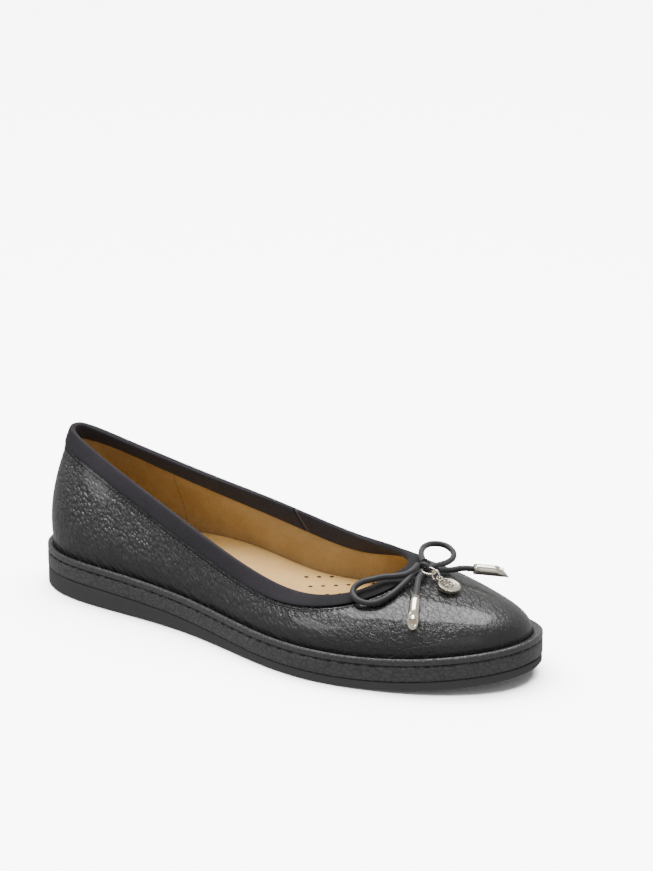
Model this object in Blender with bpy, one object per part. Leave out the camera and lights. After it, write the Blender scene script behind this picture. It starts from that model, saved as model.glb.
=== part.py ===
"""Ballet flat for the right foot: a platform sole, a hollow upper with a bound collar, an insole and a cord bow.

Metres, +Z up. The toe points along +X, the inner (medial) side of the foot lies at +Y, and the origin is
at the bottom centre of the shoe. Sections run around the shoe by an angle: 0 at the back of the heel, a
half turn at the toe tip, the outer (lateral) side first.
"""

import math

import bpy
import numpy as np
from mathutils import Matrix, Vector
from mathutils.bvhtree import BVHTree

# Driving sizes of the shoe
LENGTH = 0.2530
BALL_WIDTH = 0.0870
HEEL_HEIGHT = 0.0556
INSTEP_HEIGHT = 0.0280
VAMP_LENGTH = 0.0630
TOE_SPRING = 0.0057
SPRING_START = 0.72

# Sole
OUTSOLE_HEEL = 0.0085
OUTSOLE_FRONT = 0.0038
WEDGE_START = 0.15
WEDGE_END = 0.60
OUTSOLE_EDGE = 0.0008
MIDSOLE_HEIGHT = 0.0068
MIDSOLE_EDGE = 0.0007
WELT_HEIGHT = 0.0030
WELT_WIDTH = 0.0024
WELT_FLARE = 0.0015
FLARE_START = 0.80
WELT_EDGE = 0.0006

# Upper, collar band and insole
WALL = 0.0018
SKIVED_WALL = 0.0012
BAND_REACH = 0.0070
BAND_THICKNESS = 0.0007
CROWN_ANGLES = (45.0, 90.0, 135.0)
INSOLE_HEIGHT = 0.0070
INSOLE_EDGE = 0.0008
ARCH_RISE = 0.0040
ARCH_CENTRE = 0.37
ARCH_HALF_LENGTH = 0.17
ARCH_SIDE = 0.25
GAP = 0.0003

# Bow of elastic cord: its knot stands ahead of the throat, a little to the medial side
CORD_DIAMETER = 0.0026
KNOT_AHEAD = 0.0090
KNOT_ASIDE = 0.0035
KNOT_DIAMETER = 0.0060
KNOT_CORD = 0.0021
TIP_DIAMETER = 0.0047
TIP_WALL = 0.0006
TIP_LENGTH = 0.0158
TIP_GRIP = 0.0125
TIP_CUT = math.radians(40.0)

# Charm and its two rings, in a chain that leads from the knot down the vamp
RING_WIRE = 0.0008
LARGE_RING = 0.0070
SMALL_RING = 0.0056
CHARM_DIAMETER = 0.0098
CHARM_THICKNESS = 0.0018
CHARM_RIM = 0.0008
CHARM_RELIEF = 0.0003
EYE_DIAMETER = 0.0036
CHAIN_TURN = math.radians(-14.0)

# Fineness
SMOOTH_ANGLE = math.radians(40.0)
OUTLINE_STEP = 1e-4
PROBE_HEIGHT = 1.0
KNOT_PROBES = 13
COLUMNS = 88
WALL_RINGS = 10
RING_CROWDING = 1.25
COLUMN_STEPS = 60
INSOLE_STRIPS = 6
CORD_STEP = 1.5 * CORD_DIAMETER
CORD_BEVEL = 2
TUBE_SIDES = 20
RING_SIDES = 16
CHARM_SIDES = 32
WIRE_SIDES = 6
CORD_SIDES = 8

# The sole's outline: along (share of the length), lateral and medial (how far out, as shares of the ball width)
OUTLINE = (
    (0.02, 0.169, 0.164),
    (0.07, 0.289, 0.291),
    (0.15, 0.346, 0.356),
    (0.26, 0.357, 0.351),
    (0.38, 0.380, 0.316),
    (0.50, 0.455, 0.322),
    (0.61, 0.528, 0.391),
    (0.70, 0.537, 0.462),
    (0.78, 0.490, 0.490),
    (0.86, 0.404, 0.460),
    (0.93, 0.277, 0.373),
    (0.98, 0.122, 0.254),
)
TOE_TIP_SIDE = 0.069

# The upper's sections. Each climbs from its foot, at a share of the length, to the collar:
#   reach   where it meets the collar, as a share of the way from the heel's back to the throat
#   half    how far from the centre line that is, as a share of the ball width
#   rise    how high that is, as a share of the shoe's height there
#   belly   how far the wall swells past its foot, as a share of the ball width
#   wall    how far up it leaves the upright, as a share of its climb
#   crown   how far out it lies before the collar, as a share of its run
#   drop    how far below the collar that is, as a share of its climb
SECTION_COLUMNS = ("foot", "reach", "half", "rise", "belly", "wall", "crown", "drop")
HEEL_SECTION = (0.000, 0.053, 0.000, 1.000, 0.036, 0.40, 0.80, 0.35)
LATERAL_SECTIONS = (
    (0.020, 0.066, 0.060, 0.982, 0.036, 0.40, 0.78, 0.35),
    (0.090, 0.145, 0.092, 0.901, 0.034, 0.40, 0.70, 0.35),
    (0.190, 0.266, 0.140, 0.815, 0.020, 0.40, 0.50, 0.40),
    (0.310, 0.426, 0.218, 0.744, 0.014, 0.35, 0.55, 0.45),
    (0.440, 0.586, 0.298, 0.685, 0.012, 0.30, 0.60, 0.45),
    (0.560, 0.746, 0.355, 0.624, 0.014, 0.35, 0.60, 0.40),
    (0.640, 0.825, 0.368, 0.625, 0.018, 0.40, 0.60, 0.30),
    (0.720, 0.885, 0.348, 0.662, 0.020, 0.45, 0.60, 0.25),
    (0.790, 0.935, 0.302, 0.742, 0.020, 0.54, 0.60, 0.20),
    (0.860, 0.973, 0.228, 0.852, 0.020, 0.54, 0.58, 0.17),
    (0.940, 0.993, 0.130, 0.945, 0.018, 0.54, 0.56, 0.18),
)
TOE_SECTION = (1.000, 1.000, -0.010, 1.000, 0.014, 0.54, 0.56, 0.20)
MEDIAL_SECTIONS = (
    (0.020, 0.066, 0.064, 0.985, 0.036, 0.40, 0.78, 0.35),
    (0.090, 0.145, 0.124, 0.938, 0.034, 0.40, 0.70, 0.35),
    (0.190, 0.266, 0.168, 0.891, 0.020, 0.40, 0.50, 0.40),
    (0.310, 0.426, 0.218, 0.862, 0.014, 0.35, 0.55, 0.45),
    (0.440, 0.586, 0.283, 0.830, 0.012, 0.30, 0.60, 0.45),
    (0.560, 0.746, 0.326, 0.780, 0.014, 0.35, 0.60, 0.40),
    (0.650, 0.825, 0.315, 0.810, 0.018, 0.40, 0.60, 0.30),
    (0.730, 0.885, 0.284, 0.870, 0.020, 0.45, 0.60, 0.25),
    (0.800, 0.935, 0.234, 0.930, 0.020, 0.48, 0.56, 0.20),
    (0.870, 0.973, 0.165, 0.980, 0.018, 0.46, 0.52, 0.19),
    (0.945, 0.993, 0.085, 1.000, 0.015, 0.50, 0.52, 0.20),
)

# Routes of the bow's cords, from the knot outwards: along, aside and up from the knot's centre, in metres
LATERAL_LOOP = (
    (-0.0016, -0.0026, 0.0018),
    (-0.0007, -0.0075, 0.0012),
    (-0.0017, -0.0116, 0.0002),
    (-0.0055, -0.0148, -0.0005),
    (-0.0089, -0.0182, -0.0006),
    (-0.0111, -0.0222, -0.0008),
    (-0.0143, -0.0256, -0.0017),
    (-0.0160, -0.0288, -0.0034),
    (-0.0152, -0.0316, -0.0053),
    (-0.0117, -0.0332, -0.0070),
    (-0.0073, -0.0321, -0.0079),
    (-0.0037, -0.0299, -0.0073),
    (-0.0014, -0.0257, -0.0058),
    (-0.0004, -0.0197, -0.0040),
    (0.0000, -0.0126, -0.0017),
    (-0.0003, -0.0076, -0.0002),
    (-0.0010, -0.0026, -0.0009),
)
MEDIAL_LOOP = (
    (-0.0016, 0.0026, 0.0018),
    (-0.0059, 0.0073, 0.0014),
    (-0.0093, 0.0118, 0.0011),
    (-0.0120, 0.0163, 0.0008),
    (-0.0140, 0.0213, 0.0006),
    (-0.0142, 0.0263, 0.0003),
    (-0.0123, 0.0303, -0.0004),
    (-0.0088, 0.0316, -0.0012),
    (-0.0043, 0.0295, -0.0023),
    (-0.0013, 0.0247, -0.0030),
    (-0.0005, 0.0190, -0.0031),
    (0.0001, 0.0110, -0.0019),
    (-0.0003, 0.0064, -0.0016),
    (-0.0010, 0.0026, -0.0013),
)
LATERAL_TAIL = (
    (0.0022, -0.0048, -0.0008),
    (0.0032, -0.0089, -0.0015),
    (0.0064, -0.0149, -0.0031),
    (0.0103, -0.0219, -0.0047),
)
MEDIAL_TAIL = (
    (0.0038, 0.0046, -0.0014),
    (0.0042, 0.0090, -0.0026),
    (0.0051, 0.0135, -0.0038),
    (0.0085, 0.0171, -0.0034),
    (0.0129, 0.0194, -0.0034),
)
LATERAL_TIP_END = (0.0175, -0.0351, -0.0130)
MEDIAL_TIP_END = (0.0239, 0.0279, -0.0050)

FULL_TURN = 2.0 * math.pi


def clear_scene():
    """Take out whatever the scene holds."""
    for thing in list(bpy.data.objects):
        bpy.data.objects.remove(thing, do_unlink=True)


def new_collection(name, hidden=False):
    """A collection in the scene; a hidden one is left out of renders."""
    group = bpy.data.collections.new(name)
    group.hide_render = hidden
    bpy.context.scene.collection.children.link(group)
    return group


def new_material(name, colour, roughness, metallic=0.0):
    """A Principled material with one colour."""
    material = bpy.data.materials.new(name)
    material.use_nodes = True
    shader = material.node_tree.nodes["Principled BSDF"]
    shader.inputs["Base Color"].default_value = (*colour, 1.0)
    shader.inputs["Roughness"].default_value = roughness
    shader.inputs["Metallic"].default_value = metallic
    material.diffuse_color = (*colour, 1.0)
    return material


def angle_of(along, medial):
    """The angle around the shoe of a place on one side, given as a share of the length."""
    turn = math.acos(1.0 - 2.0 * along)
    return FULL_TURN - turn if medial else turn


def closed_spline(knots, values, at):
    """A smooth closed curve through values at knots, read at the angles in at."""
    knots = np.asarray(knots, float)
    values = np.asarray(values, float)
    count = len(knots)
    spans = np.diff(np.append(knots, knots[0] + FULL_TURN))
    slopes = (np.roll(values, -1) - values) / spans
    matrix = np.zeros((count, count))
    for i in range(count):
        before = (i - 1) % count
        after = (i + 1) % count
        matrix[i, before] += spans[before]
        matrix[i, i] += 2.0 * (spans[before] + spans[i])
        matrix[i, after] += spans[i]
    bends = np.linalg.solve(matrix, 6.0 * (slopes - np.roll(slopes, 1)))
    at = (np.asarray(at, float) - knots[0]) % FULL_TURN + knots[0]
    span = np.clip(np.searchsorted(knots, at, side="right") - 1, 0, count - 1)
    after = (span + 1) % count
    width = spans[span]
    right = (at - knots[span]) / width
    left = 1.0 - right
    straight = left * values[span] + right * values[after]
    curved = (left**3 - left) * bends[span] + (right**3 - right) * bends[after]
    return straight + curved * width**2 / 6.0


def smooth_step(value):
    """0 below 0 and 1 above 1, with an even rise between."""
    value = np.clip(value, 0.0, 1.0)
    return value * value * (3.0 - 2.0 * value)


def outline_side(angles):
    """How far the sole's edge lies from the centre line at each angle."""
    knots = [0.0]
    values = [0.0]
    for along, lateral, _ in OUTLINE:
        knots.append(angle_of(along, False))
        values.append(-lateral * BALL_WIDTH)
    knots.append(math.pi)
    values.append(TOE_TIP_SIDE * BALL_WIDTH)
    for along, _, medial in reversed(OUTLINE):
        knots.append(angle_of(along, True))
        values.append(medial * BALL_WIDTH)
    return closed_spline(knots, values, angles)


def outline(angles, inset=None):
    """Points of the sole's edge in plan, and the directions that point out of it.

    The points are moved in by inset, a width or a function that gives it at x.
    """

    def edge(at):
        return np.stack([LENGTH * (1.0 - np.cos(at)) / 2.0, outline_side(at)], axis=1)

    run = edge(angles + OUTLINE_STEP) - edge(angles - OUTLINE_STEP)
    out = np.stack([run[:, 1], -run[:, 0]], axis=1)
    out /= np.linalg.norm(out, axis=1)[:, None]
    plan = edge(angles)
    if callable(inset):
        plan = plan - inset(plan[:, 0])[:, None] * out
    elif inset is not None:
        plan = plan - inset * out
    return plan, out


def welt_width(x):
    """How wide the welt is at x: it widens around the toe."""
    return WELT_WIDTH + WELT_FLARE * smooth_step((x / LENGTH - FLARE_START) / (1.0 - FLARE_START))


def upper_inset(x):
    """How far the upper's foot stands in from the sole's edge at x."""
    return welt_width(x) + GAP


def ground(x):
    """How far the toe spring lifts the sole at x."""
    past = np.clip((x / LENGTH - SPRING_START) / (1.0 - SPRING_START), 0.0, 1.0)
    return TOE_SPRING * past**2


def outsole_top(x):
    """The height of the outsole's top at x: thick under the heel, thin at the front."""
    share = smooth_step((x / LENGTH - WEDGE_START) / (WEDGE_END - WEDGE_START))
    return ground(x) + OUTSOLE_HEEL + (OUTSOLE_FRONT - OUTSOLE_HEEL) * share


def midsole_bottom(x):
    """The height of the midsole's bottom at x."""
    return outsole_top(x) + GAP


def midsole_top(x):
    """The height of the midsole's top at x."""
    return midsole_bottom(x) + MIDSOLE_HEIGHT


def seat(x):
    """The height at which welt, upper and insole stand on the midsole."""
    return midsole_top(x) + GAP


def column_angles():
    """The angles of the sections, the same on both sides."""
    return np.arange(COLUMNS) * FULL_TURN / COLUMNS


def section_values(angles):
    """Each named value of the upper's sections, read at the angles."""
    rows = [HEEL_SECTION, *LATERAL_SECTIONS, TOE_SECTION, *reversed(MEDIAL_SECTIONS)]
    medial = [False] * (len(LATERAL_SECTIONS) + 2) + [True] * len(MEDIAL_SECTIONS)
    table = np.array(rows, float)
    half = SECTION_COLUMNS.index("half")
    table[1 : len(LATERAL_SECTIONS) + 1, half] *= -1.0
    knots = [angle_of(row[0], side) for row, side in zip(rows, medial)]
    return {
        name: closed_spline(knots, table[:, i], angles)
        for i, name in enumerate(SECTION_COLUMNS)
        if name != "foot"
    }


def collar_line(values):
    """The upper's outer edge at the collar: a point for each section."""
    back = HEEL_SECTION[SECTION_COLUMNS.index("reach")]
    x = values["reach"] * (LENGTH - VAMP_LENGTH)
    share = (values["reach"] - back) / (1.0 - back)
    height = HEEL_HEIGHT + (INSTEP_HEIGHT - HEEL_HEIGHT) * share
    y = values["half"] * BALL_WIDTH
    z = seat(x) - ground(x) + height * values["rise"]
    return np.stack([x, y, z], axis=1)


def spaced(points, distances):
    """Points at the given distances along a line of points."""
    steps = np.linalg.norm(np.diff(points, axis=0), axis=1)
    along = np.concatenate([[0.0], np.cumsum(steps)])
    return np.stack([np.interp(distances, along, points[:, k]) for k in range(3)], axis=1)


def upper_outer(angles):
    """The upper's outer face: an array of sections, each a row of points from its foot to the collar.

    The last two points of a section bound the strip that the collar band covers.
    """
    foot, out = outline(angles, upper_inset)
    values = section_values(angles)
    collar = collar_line(values)
    share = np.linspace(0.0, 1.0, COLUMN_STEPS)[:, None]
    sections = []
    for i in range(len(angles)):
        base = np.array([*foot[i], seat(foot[i][0])])
        start = base + np.array([0.0, 0.0, WELT_HEIGHT])
        end = collar[i]
        climb = end[2] - start[2]
        run = start - end
        run[2] = 0.0
        swell = np.array([*out[i], 0.0]) * values["belly"][i] * BALL_WIDTH
        lower = start + swell + np.array([0.0, 0.0, values["wall"][i] * climb])
        upper = end + values["crown"][i] * run - np.array([0.0, 0.0, values["drop"][i] * climb])
        curve = (
            (1 - share) ** 3 * start
            + 3 * (1 - share) ** 2 * share * lower
            + 3 * (1 - share) * share**2 * upper
            + share**3 * end
        )
        total = np.linalg.norm(np.diff(curve, axis=0), axis=1).sum()
        stops = np.linspace(0.0, 1.0, WALL_RINGS) ** RING_CROWDING * (total - BAND_REACH)
        section = spaced(curve, np.append(stops, total))
        sections.append(np.vstack([base, section]))
    return np.array(sections)


def outward(grid):
    """The outward direction at each point of a closed band of sections."""
    around = np.roll(grid, -1, axis=0) - np.roll(grid, 1, axis=0)
    up = np.gradient(grid, axis=1)
    out = np.cross(around, up)
    return out / np.linalg.norm(out, axis=2)[:, :, None]


def upper_walls():
    """How thick the upper is at each point of a section: thinner under the collar band."""
    walls = np.full(WALL_RINGS + 2, WALL)
    walls[-2:] = SKIVED_WALL
    return walls


def make_object(name, points, faces, material, group):
    """A named mesh object from points and faces."""
    mesh = bpy.data.meshes.new(name)
    mesh.from_pydata([tuple(p) for p in points], [], faces)
    mesh.materials.append(material)
    mesh.shade_smooth()
    mesh.set_sharp_from_angle(angle=SMOOTH_ANGLE)
    thing = bpy.data.objects.new(name, mesh)
    group.objects.link(thing)
    return thing


def ring_faces(sections):
    """Triangles of a closed tube through sections, each a closed loop of points.

    Each diagonal climbs from one section to the next, so walls that lie face to face bend alike.
    """
    count, size, _ = sections.shape
    faces = []
    for i in range(count):
        after = (i + 1) % count
        for j in range(size):
            up = (j + 1) % size
            a, b = i * size + j, after * size + j
            c, d = after * size + up, i * size + up
            if sections[i, j, 2] <= sections[i, up, 2]:
                faces += [(a, b, c), (a, c, d)]
            else:
                faces += [(a, b, d), (b, c, d)]
    return faces


def make_ring(name, sections, material, group):
    """A closed ring lofted through sections. Each section's points run up its outer side first."""
    return make_object(name, sections.reshape(-1, 3), ring_faces(sections), material, group)


def make_slab(name, rings, inner_top, material, group):
    """A solid lofted through rings from its bottom edge to its top edge.

    The bottom is closed by strips across the shoe. The top is closed by rows of points across it, one row
    for each pair of sections, or by plain strips where inner_top is None.
    """
    points = np.vstack(rings)
    faces = []
    for ring in range(len(rings) - 1):
        low = ring * COLUMNS
        high = low + COLUMNS
        for i in range(COLUMNS):
            after = (i + 1) % COLUMNS
            faces.append((low + i, low + after, high + after, high + i))
    half = COLUMNS // 2
    top = (len(rings) - 1) * COLUMNS
    for i in range(half):
        near = [i, i + 1]
        far = [(COLUMNS - i - 1) % COLUMNS, (COLUMNS - i) % COLUMNS]
        strip = [near[0], far[1], far[0], near[1]]
        faces.append(tuple(dict.fromkeys(strip)))
    rows = [[top] for _ in range(half + 1)]
    for i in range(1, half):
        rows[i] = [top + i, top + COLUMNS - i]
        if inner_top is not None:
            first = len(points)
            points = np.vstack([points, inner_top[i - 1]])
            rows[i][1:1] = range(first, first + len(inner_top[i - 1]))
    rows[half] = [top + half]
    for i in range(half):
        low, high = rows[i], rows[i + 1]
        for j in range(max(len(low), len(high)) - 1):
            strip = [
                low[min(j, len(low) - 1)],
                high[min(j, len(high) - 1)],
                high[min(j + 1, len(high) - 1)],
                low[min(j + 1, len(low) - 1)],
            ]
            faces.append(tuple(dict.fromkeys(strip)))
    return make_object(name, points, faces, material, group)


def edge_ring(inset, height):
    """Points along the sole's edge, moved in by inset, at the height that a function of x gives."""
    plan, _ = outline(column_angles(), inset)
    return np.column_stack([plan, height(plan[:, 0])])


def make_outsole(material, group):
    """The rubber outsole: flat under the heel and the ball, curved up at the toe."""
    rings = [
        edge_ring(OUTSOLE_EDGE, ground),
        edge_ring(None, lambda x: ground(x) + OUTSOLE_EDGE),
        edge_ring(None, outsole_top),
    ]
    return make_slab("outsole", rings, None, material, group)


def make_midsole(material, group):
    """The leather-covered midsole, with rounded edges."""
    rings = [
        edge_ring(MIDSOLE_EDGE, midsole_bottom),
        edge_ring(None, lambda x: midsole_bottom(x) + MIDSOLE_EDGE),
        edge_ring(None, lambda x: midsole_top(x) - MIDSOLE_EDGE),
        edge_ring(MIDSOLE_EDGE, midsole_top),
    ]
    return make_slab("midsole", rings, None, material, group)


def make_welt(material, group):
    """The stitched welt around the foot of the upper."""
    rings = [
        edge_ring(WELT_EDGE, seat),
        edge_ring(None, lambda x: seat(x) + WELT_EDGE),
        edge_ring(None, lambda x: seat(x) + WELT_HEIGHT - WELT_EDGE),
        edge_ring(WELT_EDGE, lambda x: seat(x) + WELT_HEIGHT),
        edge_ring(welt_width, lambda x: seat(x) + WELT_HEIGHT - WELT_EDGE),
        edge_ring(welt_width, seat),
    ]
    return make_ring("welt", np.stack(rings, axis=1), material, group)


def make_upper(grid, material, group):
    """The hollow upper: its outer face, and its inner face one wall further in."""
    inner = grid - outward(grid) * upper_walls()[None, :, None]
    sections = np.concatenate([grid, inner[:, ::-1]], axis=1)
    return make_ring("upper", sections, material, group)


def make_collar_band(grid, material, group):
    """The band that folds over the collar's edge, with a leg on each face of the upper."""
    strip = grid[:, -2:]
    out = outward(grid)[:, -2:]
    up = strip[:, 1] - strip[:, 0]
    up /= np.linalg.norm(up, axis=1)[:, None]
    inner = strip - out * SKIVED_WALL
    near = GAP
    far = GAP + BAND_THICKNESS
    middle = (strip[:, 1] + inner[:, 1]) / 2.0
    half = SKIVED_WALL / 2.0 + far
    crown = []
    for degrees in CROWN_ANGLES:
        turn = math.radians(degrees)
        crown.append(middle + out[:, 1] * half * math.cos(turn) + up * far * math.sin(turn))
    points = [
        strip[:, 0] + out[:, 0] * far,
        strip[:, 1] + out[:, 1] * far,
        *crown,
        inner[:, 1] - out[:, 1] * far,
        inner[:, 0] - out[:, 0] * far,
        inner[:, 0] - out[:, 0] * near,
        inner[:, 1] - out[:, 1] * near + up * near,
        strip[:, 1] + out[:, 1] * near + up * near,
        strip[:, 0] + out[:, 0] * near,
    ]
    return make_ring("collar_band", np.stack(points, axis=1), material, group)


def insole_rise(along, across):
    """How far the insole rises above its flat height: an arch pad on the medial side."""
    length = np.clip(1.0 - ((along - ARCH_CENTRE) / ARCH_HALF_LENGTH) ** 2, 0.0, 1.0) ** 2
    return ARCH_RISE * length * smooth_step((across - ARCH_SIDE) / (1.0 - ARCH_SIDE))


def make_insole(grid, material, group):
    """The padded insole, cut to the upper's inner face."""
    inner = grid - outward(grid) * (upper_walls() + GAP)[None, :, None]
    medial = np.where(np.arange(COLUMNS) > COLUMNS // 2, 1.0, 0.0)
    edge = []
    for i in range(COLUMNS):
        rise = insole_rise(inner[i, 0, 0] / LENGTH, medial[i])
        height = seat(inner[i, 0, 0]) + INSOLE_HEIGHT + rise
        low = inner[i, 0]
        high = np.array([np.interp(height, inner[i, :, 2], inner[i, :, k]) for k in range(3)])
        shoulder = height - INSOLE_EDGE
        side = np.array([np.interp(shoulder, inner[i, :, 2], inner[i, :, k]) for k in range(3)])
        edge.append((low, side, high))
    edge = np.array(edge)
    _, out = outline(column_angles())
    top = edge[:, 2].copy()
    top[:, :2] -= out * INSOLE_EDGE
    half = COLUMNS // 2
    inside = []
    for i in range(1, half):
        near, far = top[i], top[COLUMNS - i]
        row = []
        for j in range(1, INSOLE_STRIPS):
            share = j / INSOLE_STRIPS
            point = near + (far - near) * share
            flat = seat(point[0]) + INSOLE_HEIGHT
            point[2] = flat + insole_rise(point[0] / LENGTH, 2.0 * share - 1.0)
            row.append(point)
        inside.append(np.array(row))
    rings = [edge[:, 0], edge[:, 1], top]
    return make_slab("insole", rings, inside, material, group)


def surface_finder(things):
    """A function that gives the height of the highest of these objects at a place in plan."""
    trees = []
    for thing in things:
        corners = [v.co for v in thing.data.vertices]
        faces = [tuple(f.vertices) for f in thing.data.polygons]
        trees.append(BVHTree.FromPolygons(corners, faces))

    def height(x, y):
        above = Vector((x, y, PROBE_HEIGHT))
        hits = [tree.ray_cast(above, Vector((0.0, 0.0, -1.0)))[0] for tree in trees]
        return max(hit.z for hit in hits if hit is not None)

    return height


def smooth_route(points, step):
    """Points a step apart on a smooth curve through a route's points."""
    points = np.array(points)
    padded = np.vstack([2 * points[0] - points[1], points, 2 * points[-1] - points[-2]])
    share = np.linspace(0.0, 1.0, COLUMN_STEPS, endpoint=False)[:, None]
    curve = []
    for before, start, end, after in zip(padded, padded[1:], padded[2:], padded[3:]):
        bend = 2 * before - 5 * start + 4 * end - after
        twist = -before + 3 * start - 3 * end + after
        curve.append(start + 0.5 * share * ((end - before) + share * (bend + share * twist)))
    curve = np.vstack([*curve, points[-1:]])
    length = np.linalg.norm(np.diff(curve, axis=0), axis=1).sum()
    return spaced(curve, np.linspace(0.0, length, max(2, round(length / step) + 1)))


def make_cord(name, points, material, group):
    """A cord as a round tube along points."""
    curve = bpy.data.curves.new(name, "CURVE")
    curve.dimensions = "3D"
    curve.bevel_depth = CORD_DIAMETER / 2.0
    curve.bevel_resolution = CORD_BEVEL
    curve.use_fill_caps = True
    spline = curve.splines.new("POLY")
    spline.points.add(len(points) - 1)
    for knot, point in zip(spline.points, points):
        knot.co = (*point, 1.0)
    curve.materials.append(material)
    thing = bpy.data.objects.new(name, curve)
    group.objects.link(thing)
    return thing


def move_to(thing, name, material, group):
    """Name an object just added, give it its material and put it in a collection."""
    thing.name = name
    thing.data.name = name
    thing.data.materials.clear()
    thing.data.materials.append(material)
    for owner in list(thing.users_collection):
        owner.objects.unlink(thing)
    group.objects.link(thing)
    return thing


def place(thing, centre, axis, across):
    """Put an object at a centre, its local Z along axis and its local X as near as can be to across."""
    up = Vector(axis).normalized()
    side = Vector(across) - Vector(across).dot(up) * up
    side.normalize()
    turn = Matrix((side, up.cross(side), up)).transposed().to_4x4()
    thing.matrix_world = Matrix.Translation(Vector(centre)) @ turn


def make_torus(name, centre, axis, across, outer_diameter, wire, sides, material, group):
    """A closed ring of round wire."""
    bpy.ops.mesh.primitive_torus_add(
        major_segments=RING_SIDES,
        minor_segments=sides,
        major_radius=(outer_diameter - wire) / 2.0,
        minor_radius=wire / 2.0,
    )
    thing = move_to(bpy.context.object, name, material, group)
    place(thing, centre, axis, across)
    thing.data.shade_smooth()
    return thing


def make_cutter(thing, name, group):
    """Turn an object into a cutter that shows as a wire frame."""
    for owner in list(thing.users_collection):
        owner.objects.unlink(thing)
    group.objects.link(thing)
    thing.name = name
    thing.hide_render = True
    thing.display_type = "WIRE"
    return thing


def cut(thing, cutter, operation="DIFFERENCE"):
    """Cut or join an object with another one."""
    step = thing.modifiers.new(cutter.name, "BOOLEAN")
    step.operation = operation
    step.solver = "EXACT"
    step.object = cutter


def make_tip(name, start, end, material, group, cutters):
    """A metal tube around a cord's end, cut aslant at its far end with the open side up."""
    start, end = Vector(start), Vector(end)
    axis = (end - start).normalized()
    sky = Vector((0.0, 0.0, 1.0))
    middle = start + axis * TIP_LENGTH / 2.0
    bpy.ops.mesh.primitive_cylinder_add(vertices=TUBE_SIDES, radius=TIP_DIAMETER / 2.0, depth=TIP_LENGTH)
    tube = move_to(bpy.context.object, name, material, group)
    place(tube, middle, axis, sky)
    bore = TIP_DIAMETER / 2.0 - TIP_WALL
    bpy.ops.mesh.primitive_cylinder_add(vertices=TUBE_SIDES, radius=bore, depth=TIP_LENGTH * 2.0)
    hole = make_cutter(bpy.context.object, name + "_bore", cutters)
    place(hole, middle, axis, sky)
    bpy.ops.mesh.primitive_cube_add(size=TIP_LENGTH)
    slant = make_cutter(bpy.context.object, name + "_slant", cutters)
    lift = (sky - sky.dot(axis) * axis).normalized()
    facing = (lift * math.cos(TIP_CUT) + axis * math.sin(TIP_CUT)).normalized()
    lip = start + axis * TIP_LENGTH - lift * TIP_DIAMETER / 2.0
    place(slant, lip + facing * TIP_LENGTH / 2.0, facing, axis)
    cut(tube, hole)
    cut(tube, slant)
    tube.data.shade_smooth()
    tube.data.set_sharp_from_angle(angle=SMOOTH_ANGLE)
    return tube


def make_charm(eye_start, down, up, material, group, cutters):
    """A round charm with a raised rim and an eye. eye_start is the eye's wire that the small ring holds."""
    reach = (EYE_DIAMETER - RING_WIRE) / 2.0
    eye_centre = eye_start + down * reach
    centre = eye_centre + down * (reach + CHARM_DIAMETER / 2.0)
    bpy.ops.mesh.primitive_cylinder_add(
        vertices=CHARM_SIDES, radius=CHARM_DIAMETER / 2.0, depth=CHARM_THICKNESS
    )
    charm = move_to(bpy.context.object, "charm", material, group)
    bpy.ops.object.mode_set(mode="EDIT")
    bpy.ops.mesh.select_mode(type="FACE")
    bpy.ops.object.mode_set(mode="OBJECT")
    for face in charm.data.polygons:
        face.select = len(face.vertices) > 4
    bpy.ops.object.mode_set(mode="EDIT")
    bpy.ops.mesh.inset(thickness=CHARM_RIM, depth=0.0, use_individual=True)
    bpy.ops.mesh.inset(thickness=CHARM_RELIEF, depth=-CHARM_RELIEF, use_individual=True)
    bpy.ops.object.mode_set(mode="OBJECT")
    place(charm, centre, up, down)
    eye = make_torus(
        "charm_eye", eye_centre, up, down, EYE_DIAMETER, RING_WIRE, WIRE_SIDES, material, group
    )
    make_cutter(eye, "charm_eye", cutters)
    cut(charm, eye, "UNION")
    return charm


def make_chain(knot, height, material, group, cutters):
    """The large ring through the knot, the small ring through it, and the charm on that."""
    ahead = Vector((math.cos(CHAIN_TURN), math.sin(CHAIN_TURN), 0.0))
    aside = Vector((-math.sin(CHAIN_TURN), math.cos(CHAIN_TURN), 0.0))
    start = Vector(knot)
    large = LARGE_RING - RING_WIRE
    small = SMALL_RING - RING_WIRE
    hook = RING_WIRE + GAP
    link = start + ahead * large
    link.z = height(link.x, link.y) + SMALL_RING / 2.0 + GAP
    slope = (link - start).normalized()
    link = start + slope * large
    flat = slope.cross(aside)
    middle = (start + link) / 2.0
    make_torus("ring_large", middle, flat, slope, LARGE_RING, RING_WIRE, WIRE_SIDES, material, group)
    middle = link + slope * (small / 2.0 - hook)
    make_torus("ring_small", middle, aside, slope, SMALL_RING, RING_WIRE, WIRE_SIDES, material, group)
    eye_start = link + slope * (small - 2.0 * hook)
    far = eye_start + ahead * (EYE_DIAMETER - RING_WIRE + CHARM_DIAMETER)
    far.z = height(far.x, far.y) + CHARM_THICKNESS / 2.0 + 2.0 * GAP
    down = (far - eye_start).normalized()
    make_charm(eye_start, down, down.cross(aside), material, group, cutters)


def resting_height(height, x, y, radius, half_width):
    """How high the centre of an upright wheel must stand at a place, so that it clears the surface by a gap."""
    heights = []
    for ahead in np.linspace(-radius, radius, KNOT_PROBES):
        for aside in (-half_width, half_width):
            heights.append(height(x + ahead, y + aside) + math.sqrt(max(radius**2 - ahead**2, 0.0)))
    return max(heights) + GAP


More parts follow.
